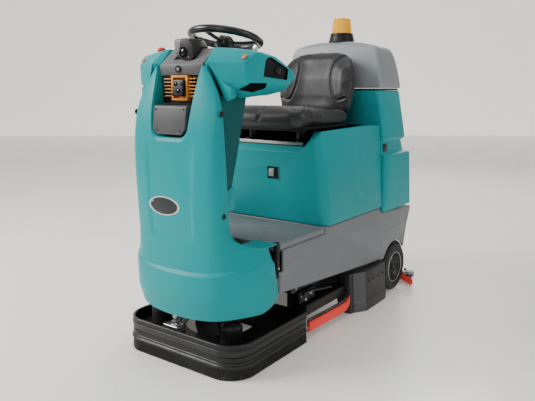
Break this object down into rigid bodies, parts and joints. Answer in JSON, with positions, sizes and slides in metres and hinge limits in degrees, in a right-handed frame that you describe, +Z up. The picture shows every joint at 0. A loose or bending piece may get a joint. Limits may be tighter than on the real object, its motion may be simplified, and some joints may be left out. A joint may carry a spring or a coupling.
{
  "type": "ride-on floor scrubber",
  "caption": "Ride-on floor scrubber with driver-assist sensors, steered front wheel inside a ring-shaped scrub deck, sliding seat, tilting tank hood and bowed rear squeegee.",
  "frame": {"origin": "on the floor under the middle of the overall box", "axes": "+Z up, the machine faces -Y, its left side is +X"},
  "size_m": [0.794, 1.72, 1.4638],
  "materials": {
    "teal_shell": "moulded polyethylene, satin",
    "teal_inner": "moulded polyethylene, satin, in shade",
    "grey_shell": "moulded polyethylene, satin",
    "light_grey": "moulded plastic, fine texture",
    "dark_grey": "moulded plastic, fine texture",
    "black_plastic": "moulded plastic, fine texture",
    "gloss_black": "polished sensor window",
    "black_rubber": "moulded rubber",
    "tyre": "solid rubber tyre",
    "seat_vinyl": "grained vinyl skin on moulded foam",
    "steel": "satin stainless steel",
    "frame_steel": "black powder coat",
    "orange_metal": "orange anodised aluminium",
    "red_rubber": "red polyurethane",
    "yellow_lens": "amber ribbed lens",
    "bristle": "nylon bristle",
    "red_plastic": "red button"
  },
  "bodies": {
    "chassis": {"chassis_frame": "frame_steel", "chassis_shell": "grey_shell", "battery_pack": "black_plastic", "vacuum_fan": "black_plastic", "solution_tank": "teal_shell", "recovery_tank": "teal_shell", "hood_gasket": "black_rubber", "hose_elbow": "black_plastic", "front_shroud": "teal_shell", "column_cover": "teal_inner", "console_housing": "teal_shell", "dash_panel": "light_grey", "scanner_turret": "light_grey", "scanner_head": "gloss_black", "sensor_bay": "black_plastic", "sensor_grille": "orange_metal", "sensor_camera": "gloss_black", "sensor_cover": "dark_grey", "camera_left": "gloss_black", "camera_right": "gloss_black", "steering_column": "black_plastic", "rear_skirt_left": "black_plastic", "rear_skirt_right": "black_plastic", "side_blade_left": "red_rubber", "side_blade_right": "red_rubber"},
    "steering": {"steering_wheel": "black_plastic"},
    "drive_unit": {"drive_fork": "frame_steel"},
    "front_wheel": {"front_tyre": "tyre", "front_hub": "dark_grey"},
    "rear_wheel_left": {"rear_tyre_left": "tyre", "rear_hub_left": "dark_grey"},
    "rear_wheel_right": {"rear_tyre_right": "tyre", "rear_hub_right": "dark_grey"},
    "scrub_deck": {"deck_housing": "black_plastic", "deck_bristles": "bristle", "deck_hanger": "steel", "brush_motor_left": "black_plastic", "brush_motor_right": "black_plastic"},
    "brush_left": {"brush_left": "bristle"},
    "brush_right": {"brush_right": "bristle"},
    "squeegee": {"squeegee_frame": "steel", "squeegee_blade": "red_rubber", "squeegee_blade_front": "red_rubber", "suction_hose": "black_rubber"},
    "roller_left": {"squeegee_roller_left": "light_grey"},
    "roller_right": {"squeegee_roller_right": "light_grey"},
    "hood": {"tank_hood": "light_grey", "beacon_base": "black_plastic", "beacon_lens": "yellow_lens"},
    "seat_deck": {"seat_deck": "black_plastic"},
    "seat": {"seat_pan": "black_plastic", "seat_cushion": "seat_vinyl", "seat_back": "seat_vinyl"},
    "platform": {"foot_platform": "grey_shell"},
    "accelerator": {"accelerator_pedal": "black_rubber"},
    "brake": {"brake_pedal": "black_rubber"},
    "platform_latch": {"platform_latch": "black_rubber"},
    "seat_latch": {"seat_latch": "grey_shell"},
    "estop": {"estop_button": "red_plastic"},
    "key": {"ignition_key": "black_plastic"}
  },
  "joints": [
    {"name": "drive_steer", "type": "hinge", "parent": "chassis", "child": "drive_unit", "pos_m": [0, -0.555, 0.3], "axis": [0, 0, 1], "range_deg": [-60, 60]},
    {"name": "steering_turn", "type": "hinge", "parent": "chassis", "child": "steering", "pos_m": [0, -0.4956, 1.3], "axis": [0, 0.2045, 0.9789], "range_deg": [-180, 180]},
    {"name": "front_wheel_spin", "type": "hinge", "parent": "drive_unit", "child": "front_wheel", "pos_m": [0, -0.555, 0.125], "axis": [1, 0, 0], "continuous": true},
    {"name": "rear_wheel_left_spin", "type": "hinge", "parent": "chassis", "child": "rear_wheel_left", "pos_m": [0.296, 0.54, 0.13], "axis": [1, 0, 0], "continuous": true},
    {"name": "rear_wheel_right_spin", "type": "hinge", "parent": "chassis", "child": "rear_wheel_right", "pos_m": [-0.296, 0.54, 0.13], "axis": [1, 0, 0], "continuous": true},
    {"name": "deck_lift", "type": "slide", "parent": "chassis", "child": "scrub_deck", "axis": [0, 0, 1], "range_m": [0, 0.04]},
    {"name": "brush_left_spin", "type": "hinge", "parent": "scrub_deck", "child": "brush_left", "pos_m": [0.194, -0.714, 0.04], "axis": [0, 0, 1], "continuous": true},
    {"name": "brush_right_spin", "type": "hinge", "parent": "scrub_deck", "child": "brush_right", "pos_m": [-0.194, -0.714, 0.04], "axis": [0, 0, 1], "continuous": true},
    {"name": "squeegee_lift", "type": "slide", "parent": "chassis", "child": "squeegee", "axis": [0, 0, 1], "range_m": [0, 0.04]},
    {"name": "roller_left_spin", "type": "hinge", "parent": "squeegee", "child": "roller_left", "pos_m": [0.372, 0.648, 0.0785], "axis": [0, 0, 1], "continuous": true},
    {"name": "roller_right_spin", "type": "hinge", "parent": "squeegee", "child": "roller_right", "pos_m": [-0.372, 0.648, 0.0785], "axis": [0, 0, 1], "continuous": true},
    {"name": "hood_open", "type": "hinge", "parent": "chassis", "child": "hood", "pos_m": [0, 0.64, 1.1], "axis": [-1, 0, 0], "range_deg": [0, 80]},
    {"name": "seat_deck_tilt", "type": "hinge", "parent": "chassis", "child": "seat_deck", "pos_m": [-0.3, 0, 0.927], "axis": [0, -1, 0], "range_deg": [0, 60]},
    {"name": "seat_slide", "type": "slide", "parent": "seat_deck", "child": "seat", "axis": [0, 1, 0], "range_m": [-0.1, 0]},
    {"name": "platform_open", "type": "hinge", "parent": "chassis", "child": "platform", "pos_m": [0, -0.208, 0.4915], "axis": [-1, 0, 0], "range_deg": [0, 70]},
    {"name": "accelerator_press", "type": "hinge", "parent": "platform", "child": "accelerator", "pos_m": [-0.171, -0.44, 0.5], "axis": [1, 0, 0], "range_deg": [0, 14], "stiffness_Nm_per_rad": 4, "springref_deg": -11.46},
    {"name": "brake_press", "type": "hinge", "parent": "platform", "child": "brake", "pos_m": [-0.097, -0.44, 0.5], "axis": [1, 0, 0], "range_deg": [0, 14], "stiffness_Nm_per_rad": 6, "springref_deg": -11.46},
    {"name": "platform_latch_open", "type": "hinge", "parent": "chassis", "child": "platform_latch", "pos_m": [0.31, -0.569, 0.395], "axis": [0, 1, 0], "range_deg": [0, 90]},
    {"name": "seat_latch_pull", "type": "hinge", "parent": "chassis", "child": "seat_latch", "pos_m": [0.03, -0.2065, 0.737], "axis": [-1, 0, 0], "range_deg": [0, 35], "stiffness_Nm_per_rad": 0.4, "springref_deg": -11.46},
    {"name": "estop_press", "type": "slide", "parent": "chassis", "child": "estop", "axis": [0, 0, -1], "range_m": [0, 0.004], "stiffness_N_per_m": 900, "springref_m": -0.003},
    {"name": "key_turn", "type": "hinge", "parent": "chassis", "child": "key", "pos_m": [0.2, -0.56, 1.2335], "axis": [0, 0, 1], "range_deg": [-60, 0]}
  ],
  "couplings": [
    {"joint": "steering_turn", "follows": "drive_steer", "ratio": 3}
  ]
}
